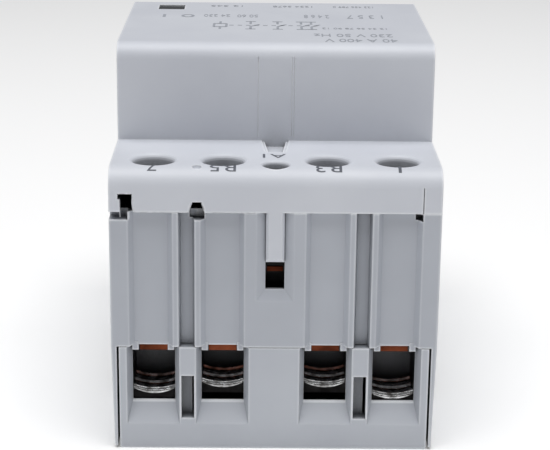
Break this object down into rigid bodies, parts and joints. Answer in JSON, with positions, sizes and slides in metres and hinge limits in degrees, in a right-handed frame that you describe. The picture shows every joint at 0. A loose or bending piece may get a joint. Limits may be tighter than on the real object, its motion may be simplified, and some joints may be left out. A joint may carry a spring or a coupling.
{
  "type": "din rail contactor",
  "caption": "Modular contactor for a 35 mm rail: light grey case with a raised nose, funnel wire entries with cage clamps, screw wells, coil and moving contacts inside.",
  "frame": {"origin": "middle of the back face, on the surface that the device lies on", "axes": "+Z out of the front (nose) face, +X across the width, +Y along the height from the line end to the load end"},
  "size_m": [0.0536, 0.085, 0.0645],
  "materials": {
    "case_plastic": "light grey moulded plastic, fine satin",
    "window_plastic": "smoked clear plastic, polished",
    "flag_plastic": "red moulded plastic",
    "black_plastic": "black glass-filled plastic",
    "enamelled_copper": "enamelled winding wire",
    "lamination_steel": "stacked silicon steel, oiled",
    "plated_steel": "zinc plated steel",
    "spring_steel": "drawn wire",
    "copper": "punched copper, lightly oxidised",
    "silver": "silver alloy, matt",
    "rubber": "black rubber",
    "lead_insulation": "coloured wire insulation",
    "circuit_board": "green laminate"
  },
  "bodies": {
    "root": {"base_housing": "case_plastic", "front_cover": "case_plastic", "terminal_block_line": "case_plastic", "terminal_block_load": "case_plastic", "indicator_window": "window_plastic", "coil_bobbin": "black_plastic", "arc_chamber_line": "black_plastic", "arc_chamber_load": "black_plastic", "coil_winding": "enamelled_copper", "magnet_core": "lamination_steel", "core_rivets": "plated_steel", "core_pads": "rubber", "fixed_tips": "silver", "return_spring_left": "spring_steel", "return_spring_right": "spring_steel", "rail_clip_spring": "spring_steel", "main_bars_line": "copper", "main_bars_load": "copper", "coil_bars": "copper", "coil_leads": "lead_insulation", "rectifier_board": "circuit_board"},
    "crossbar": {"armature": "lamination_steel", "contact_carrier": "black_plastic", "bridge_tips": "silver", "status_flag": "flag_plastic", "contact_bridge_1": "copper", "contact_bridge_2": "copper", "contact_bridge_3": "copper", "contact_bridge_4": "copper", "contact_spring_1": "spring_steel", "contact_spring_2": "spring_steel", "contact_spring_3": "spring_steel", "contact_spring_4": "spring_steel"},
    "rail_foot": {"rail_clip": "black_plastic"},
    "screw_line_1": {"main_screw_line_1": "plated_steel"},
    "cage_line_1": {"main_cage_line_1": "plated_steel"},
    "screw_line_2": {"main_screw_line_2": "plated_steel"},
    "cage_line_2": {"main_cage_line_2": "plated_steel"},
    "screw_line_3": {"main_screw_line_3": "plated_steel"},
    "cage_line_3": {"main_cage_line_3": "plated_steel"},
    "screw_line_4": {"main_screw_line_4": "plated_steel"},
    "cage_line_4": {"main_cage_line_4": "plated_steel"},
    "coil_screw_line": {"coil_screw_line": "plated_steel"},
    "coil_cage_line": {"coil_cage_line": "plated_steel"},
    "screw_load_1": {"main_screw_load_1": "plated_steel"},
    "cage_load_1": {"main_cage_load_1": "plated_steel"},
    "screw_load_2": {"main_screw_load_2": "plated_steel"},
    "cage_load_2": {"main_cage_load_2": "plated_steel"},
    "screw_load_3": {"main_screw_load_3": "plated_steel"},
    "cage_load_3": {"main_cage_load_3": "plated_steel"},
    "screw_load_4": {"main_screw_load_4": "plated_steel"},
    "cage_load_4": {"main_cage_load_4": "plated_steel"},
    "coil_screw_load": {"coil_screw_load": "plated_steel"},
    "coil_cage_load": {"coil_cage_load": "plated_steel"}
  },
  "joints": [
    {"name": "crossbar_slide", "type": "slide", "parent": "root", "child": "crossbar", "axis": [0, 0, -1], "range_m": [0, 0.003], "stiffness_N_per_m": 800, "springref_m": -0.005, "deforming": ["return_spring_left", "return_spring_right"]},
    {"name": "rail_foot_slide", "type": "slide", "parent": "root", "child": "rail_foot", "axis": [0, 1, 0], "range_m": [0, 0.003], "stiffness_N_per_m": 1500, "springref_m": -0.002, "deforming": ["rail_clip_spring"]},
    {"name": "screw_line_1_turn", "type": "hinge", "parent": "root", "child": "screw_line_1", "pos_m": [0.0199, -0.0357, 0.03], "axis": [0, 0, -1], "range_deg": [-2, 3377]},
    {"name": "cage_line_1_lift", "type": "slide", "parent": "root", "child": "cage_line_1", "axis": [0, 0, 1], "range_m": [0, 0.0075]},
    {"name": "screw_line_2_turn", "type": "hinge", "parent": "root", "child": "screw_line_2", "pos_m": [0.0085, -0.0357, 0.03], "axis": [0, 0, -1], "range_deg": [-902, 2477]},
    {"name": "cage_line_2_lift", "type": "slide", "parent": "root", "child": "cage_line_2", "axis": [0, 0, 1], "range_m": [-0.002, 0.0055]},
    {"name": "screw_line_3_turn", "type": "hinge", "parent": "root", "child": "screw_line_3", "pos_m": [-0.0085, -0.0357, 0.03], "axis": [0, 0, -1], "range_deg": [-857, 2522]},
    {"name": "cage_line_3_lift", "type": "slide", "parent": "root", "child": "cage_line_3", "axis": [0, 0, 1], "range_m": [-0.0019, 0.0056]},
    {"name": "screw_line_4_turn", "type": "hinge", "parent": "root", "child": "screw_line_4", "pos_m": [-0.0199, -0.0357, 0.03], "axis": [0, 0, -1], "range_deg": [-339.5, 3039.5]},
    {"name": "cage_line_4_lift", "type": "slide", "parent": "root", "child": "cage_line_4", "axis": [0, 0, 1], "range_m": [-0.00075, 0.00675]},
    {"name": "coil_screw_line_turn", "type": "hinge", "parent": "root", "child": "coil_screw_line", "pos_m": [0, -0.0384, 0.03], "axis": [0, 0, -1], "range_deg": [-2, 1586]},
    {"name": "coil_cage_line_lift", "type": "slide", "parent": "root", "child": "coil_cage_line", "axis": [0, 0, 1], "range_m": [0, 0.0022]},
    {"name": "screw_load_1_turn", "type": "hinge", "parent": "root", "child": "screw_load_1", "pos_m": [0.0199, 0.0357, 0.03], "axis": [0, 0, -1], "range_deg": [-137, 3242]},
    {"name": "cage_load_1_lift", "type": "slide", "parent": "root", "child": "cage_load_1", "axis": [0, 0, 1], "range_m": [-0.0003, 0.0072]},
    {"name": "screw_load_2_turn", "type": "hinge", "parent": "root", "child": "screw_load_2", "pos_m": [0.0085, 0.0357, 0.03], "axis": [0, 0, -1], "range_deg": [-2, 3377]},
    {"name": "cage_load_2_lift", "type": "slide", "parent": "root", "child": "cage_load_2", "axis": [0, 0, 1], "range_m": [0, 0.0075]},
    {"name": "screw_load_3_turn", "type": "hinge", "parent": "root", "child": "screw_load_3", "pos_m": [-0.0085, 0.0357, 0.03], "axis": [0, 0, -1], "range_deg": [-272, 3107]},
    {"name": "cage_load_3_lift", "type": "slide", "parent": "root", "child": "cage_load_3", "axis": [0, 0, 1], "range_m": [-0.0006, 0.0069]},
    {"name": "screw_load_4_turn", "type": "hinge", "parent": "root", "child": "screw_load_4", "pos_m": [-0.0199, 0.0357, 0.03], "axis": [0, 0, -1], "range_deg": [-2, 3377]},
    {"name": "cage_load_4_lift", "type": "slide", "parent": "root", "child": "cage_load_4", "axis": [0, 0, 1], "range_m": [0, 0.0075]},
    {"name": "coil_screw_load_turn", "type": "hinge", "parent": "root", "child": "coil_screw_load", "pos_m": [0, 0.0384, 0.03], "axis": [0, 0, -1], "range_deg": [-2, 1586]},
    {"name": "coil_cage_load_lift", "type": "slide", "parent": "root", "child": "coil_cage_load", "axis": [0, 0, 1], "range_m": [0, 0.0022]}
  ],
  "couplings": [
    {"joint": "screw_line_1_turn", "follows": "cage_line_1_lift", "rad_per_m": 7854},
    {"joint": "screw_line_2_turn", "follows": "cage_line_2_lift", "rad_per_m": 7854},
    {"joint": "screw_line_3_turn", "follows": "cage_line_3_lift", "rad_per_m": 7854},
    {"joint": "screw_line_4_turn", "follows": "cage_line_4_lift", "rad_per_m": 7854},
    {"joint": "coil_screw_line_turn", "follows": "coil_cage_line_lift", "rad_per_m": 12566},
    {"joint": "screw_load_1_turn", "follows": "cage_load_1_lift", "rad_per_m": 7854},
    {"joint": "screw_load_2_turn", "follows": "cage_load_2_lift", "rad_per_m": 7854},
    {"joint": "screw_load_3_turn", "follows": "cage_load_3_lift", "rad_per_m": 7854},
    {"joint": "screw_load_4_turn", "follows": "cage_load_4_lift", "rad_per_m": 7854},
    {"joint": "coil_screw_load_turn", "follows": "coil_cage_load_lift", "rad_per_m": 12566}
  ]
}
